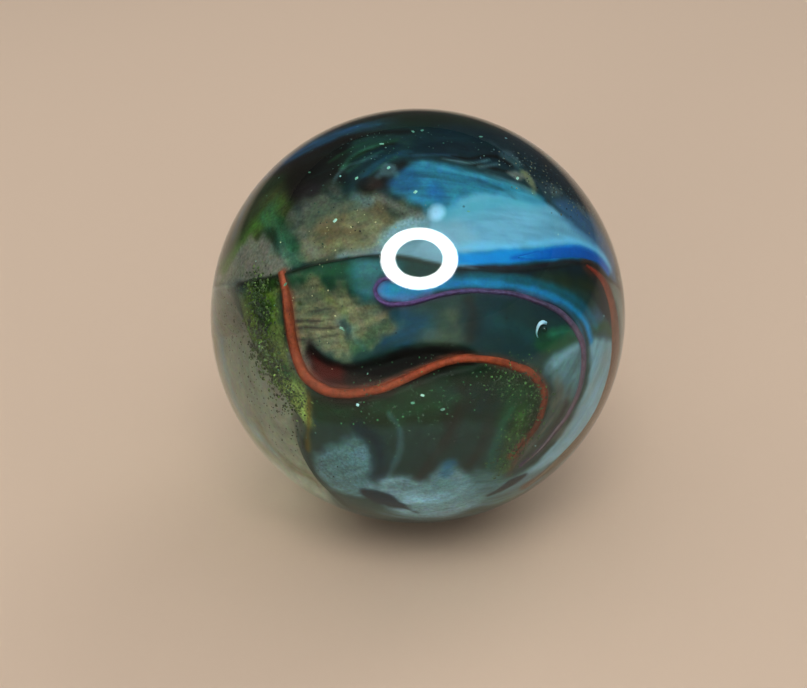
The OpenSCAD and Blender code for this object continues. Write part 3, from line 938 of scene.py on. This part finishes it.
def makeFlakes():
    random = np.random.default_rng(7)
    sides, half = flakes["sides"], flakes["thick"] / 2
    places = np.array(flakes["places"])
    extra = unit(random.normal(0, 1, (flakes["more"], 3)))
    spots = np.concatenate([spotAt(*(places + (by, 0)).T) for by in bothSwirls] + [extra])
    sizes = random.uniform(*flakes["size"], len(spots))
    sizes[-flakes["more"]:] *= flakes["moreSize"]
    points, faces, colours = [], [], []
    for i, (spot, size) in enumerate(zip(spots, sizes)):
        facing = unit(spot + random.normal(0, flakes["tilt"], 3))
        east = unit(np.cross(facing, random.normal(0, 1, 3)))
        north = np.cross(facing, east)
        faces += [[len(points) + corner for corner in face] for face in closeTube(2, sides)]
        for lift in (-half, half):
            for k in range(sides):
                a = k * 2 * math.pi / sides
                reach = size * (1 + 0.25 * math.sin(a * 2 + i))
                points.append(spot * (radius - flakes["deep"]) + facing * lift
                              + (east * math.cos(a) + north * math.sin(a) * 0.75) * reach)
        colours += [swatch(flakes["glass"][i % len(flakes["glass"])])] * 2 * sides
    return points, faces, toLinear(np.array(colours))


points, faces, colours = makeFlakes()
addPiece("brightFlakes", points, faces, colouredGlass("flake glitter", 15000, 3000, 0.8, 0.3),
         colours, 0.4, smooth=False)
print("grains and flakes made")

# Tiny bubbles of air in the clear cover
bubbles = {
    "places": [(36, -4), (-62, -6), (-57, -17), (-48, -27), (-33, 41), (-20, 42), (14, 30), (24, -1),
               (-6, -5), (12, -36)],
    "size": [0.2, 0.12, 0.08, 0.1, 0.09, 0.07, 0.08, 0.09, 0.07, 0.08],  # mm across
    "depth": 0.22,  # mm down to the middle
    "cuts": 7,
}


def makeBubbles():
    material, tree, shader = newMaterial("air in glass")
    # less than 1, since the light goes from the glass into the air
    setSockets(shader, {"Transmission Weight": 1, "IOR": 1 / 1.5, "Roughness": 0.02})
    directions, quads = cubeBall(bubbles["cuts"])
    points, faces = [], []
    for place, size in zip(bubbles["places"], bubbles["size"]):
        start = len(points) * len(directions)
        points.append(spotAt(*place) * (radius - bubbles["depth"]) + directions * size / 2)
        faces += [[start + i for i in quad] for quad in quads]
    addPiece("airBubbles", np.concatenate(points), faces, material)


makeBubbles()

# A pale C-shaped curl beside the largest bubble: a painted glint, standing in for the lamp's reflection in
# the bubble's rim
curl = {
    "name": "paintedBubbleGlint", "slot": "glitter", "wide": [0.12, 0.18, 0.2, 0.18, 0.16], "deep": 0.1,
    "colours": ["8cb8cc", "c0dce8", "b0d0dc", "84a8b8"],
    "line": [(36.9, -2.4), (35.7, -2.1), (34.6, -2.6), (33.9, -3.8), (33.7, -5.2), (34.2, -6.2)],
    "bright": 0.95,
}
points, faces, colours = sweepRibbon(curl, 0)
addPiece(curl["name"], points, faces, colouredGlass("painted bubble glint", 8000, 2000, 0.3),
         colours * curl["bright"], 0.1)
print("bubbles and curl made")

# The stage: a pale floor that curves up all round, painted darker away from the ball so that a pool of light
# is painted round it
stage = {
    "floorRadius": 0.34, "height": 0.26,      # metres
    "colour": (0.86, 0.67, 0.51),             # by the ball
    # painted shade: the floor's colour far from the ball
    "paintedFarShade": (0.17, 0.14, 0.12),
    "paintedPoolReach": (0.035, 0.16),                    # metres over which one turns to the other
    "sides": 64, "flatSteps": 8, "curveSteps": 13,
}


def makeFloor():
    material, tree, shader = newMaterial("pale floor")
    setSockets(shader, {"Roughness": 0.75, "Specular IOR Level": 0.15})
    nearBy = mixColours(tree, addNoise(tree, 14, 3), *[tuple(c * shade for c in stage["colour"]) + (1,)
                                                       for shade in (0.96, 1.04)])
    place = addNode(tree, "ShaderNodeTexCoord").outputs["Object"]
    away = addNode(tree, "ShaderNodeVectorMath", [(place, 0)], operation="LENGTH").outputs["Value"]
    # painted shade: the floor darkens from the ball outwards, a painted pool of light round the ball
    fade = mapRange(tree, away, *stage["paintedPoolReach"], 0, 1, interpolation_type="SMOOTHSTEP")
    tree.links.new(mixColours(tree, fade, nearBy, stage["paintedFarShade"] + (1,)), shader.inputs["Base Color"])
    reach, height, sides = stage["floorRadius"], stage["height"], stage["sides"]
    profile = [(reach * k / stage["flatSteps"], 0) for k in range(stage["flatSteps"] + 1)]
    profile += [(reach + height * math.sin(a), height * (1 - math.cos(a)))
                for a in np.linspace(0, math.pi / 2, stage["curveSteps"] + 1)[1:]]
    turns = [k * 2 * math.pi / sides for k in range(sides)]
    points = [(far * math.cos(a), far * math.sin(a), low.z + up) for far, up in profile for a in turns]
    newObject("floor", newMesh("floor", points, joinRings(len(profile), sides), material))


makeFloor()

# Lamps. The ring and the dot are seen mirrored in the glass and light nothing; the soft lamps light it.
lamps = {
    # turn and rise place a lamp; outer, inner and fade are half its width in degrees, seen from the ball
    "ring": {"turn": 1, "rise": 60.6, "away": 0.3, "outer": 19.0, "inner": 13.2, "squash": 0.85, "glow": 80,
             "fade": 1.5, "colour": (1.0, 0.99, 0.98)},
    "dot": {"turn": 73.5, "rise": 81, "away": 0.3, "outer": 4.4, "inner": 0, "squash": 0.75, "glow": 11,
            "fade": 2.2, "colour": (0.55, 0.8, 1.0)},
    "soft": [
        {"place": (0.02, -0.17, 0.3), "size": 0.18, "power": 0.34, "colour": (1.0, 0.98, 0.95)},
        {"place": (-0.12, -0.34, 0.04), "size": 0.2, "power": 0.4, "colour": (1.0, 0.98, 0.95)},
        {"place": (0.22, 0.28, 0.25), "size": 0.25, "power": 0.25, "colour": (0.95, 0.98, 1.0)},
    ],
    "sides": 96,
    "roomColour": (0.95, 0.97, 1.0, 1),
    "room": 0.62,          # the even light from all round
    "roomMirrored": 0.04,  # and how bright the room looks in the glass
}


def glowingRing(name, lamp):
    turn, rise = math.radians(lamp["turn"]), math.radians(lamp["rise"])
    towards = Vector((math.sin(turn) * math.cos(rise), -math.cos(turn) * math.cos(rise), math.sin(rise)))
    centre = middle + towards * lamp["away"]
    east = towards.cross(Vector((0, 0, 1))).normalized()
    north = east.cross(towards)
    points, colours = [], []
    inner, outer, fade, sides = lamp["inner"], lamp["outer"], lamp["fade"], lamps["sides"]
    for degrees, bright in ((inner - fade, 0), (inner + fade, 1), (outer - fade, 1), (outer + fade, 0)):
        reach = lamp["away"] * math.tan(math.radians(max(degrees, 0)))
        lit = bright or not inner and degrees < outer  # a lamp without a hole glows to its middle
        for k in range(sides):
            a = k * 2 * math.pi / sides
            points.append(centre + (east * math.cos(a) + north * math.sin(a) * lamp["squash"]) * reach)
            colours.append([c * lit for c in lamp["colour"]])
    material, tree, shader = newMaterial(name + " light")
    setSockets(shader, {"Base Color": (0, 0, 0, 1), "Emission Strength": lamp["glow"]})
    glow = addNode(tree, "ShaderNodeAttribute", attribute_name="glow").outputs["Color"]
    tree.links.new(glow, shader.inputs["Emission Color"])
    mesh = newMesh(name, points, joinRings(4, sides), material, smooth=False)
    paintMesh(mesh, "glow", colours)
    ring = newObject(name, mesh)
    ring.visible_diffuse = False


glowingRing("ringLamp", lamps["ring"])
glowingRing("dotLamp", lamps["dot"])
for i, lamp in enumerate(lamps["soft"]):
    data = bpy.data.lights.new("softLamp%d" % i, "AREA")
    data.shape = "DISK"
    data.size = lamp["size"]
    data.energy = lamp["power"]
    data.color = lamp["colour"]
    softLamp = newObject(data.name, data)
    softLamp.location = lamp["place"]
    softLamp.rotation_euler = (middle - softLamp.location).to_track_quat("-Z", "Y").to_euler()
    softLamp.visible_glossy = False
    softLamp.visible_transmission = False

scene = bpy.context.scene
scene.world = scene.world or bpy.data.worlds.new("room")
scene.world.use_nodes = True
room = scene.world.node_tree
isDiffuse = addNode(room, "ShaderNodeLightPath").outputs["Is Diffuse Ray"]
strength = mapRange(room, isDiffuse, 0, 1, lamps["roomMirrored"], lamps["room"])
room.nodes["Background"].inputs["Color"].default_value = lamps["roomColour"]
room.links.new(strength, room.nodes["Background"].inputs["Strength"])
print("stage and lamps made")

# Camera: rise in degrees, away in metres, and how far to the left of the ball's middle and below it the
# camera is aimed, in mm
camera = {"rise": 30, "away": 0.12, "lens": 138.6, "sensor": 36, "left": 0.548, "below": 1.085,
          "nearest": 0.005, "furthest": 3, "gamma": 0.88}
rise = math.radians(camera["rise"])
towards = Vector((0, -math.cos(rise), math.sin(rise)))
upward = Vector((0, math.sin(rise), math.cos(rise)))
aim = middle - Vector((camera["left"] * mm, 0, 0)) - upward * camera["below"] * mm
data = bpy.data.cameras.new("camera")
data.lens = camera["lens"]
data.sensor_width = camera["sensor"]
data.clip_start = camera["nearest"]
data.clip_end = camera["furthest"]
eye = newObject("camera", data)
turned = Matrix(((1, 0, 0), (0, upward.y, towards.y), (0, upward.z, towards.z))).to_quaternion()
eye.matrix_world = Matrix.LocRotScale(aim + towards * camera["away"], turned, None)
scene.camera = eye
scene.view_settings.view_transform = "Standard"
scene.view_settings.gamma = camera["gamma"]
scene.cycles.transparent_max_bounces = 16
bpy.context.view_layer.update()
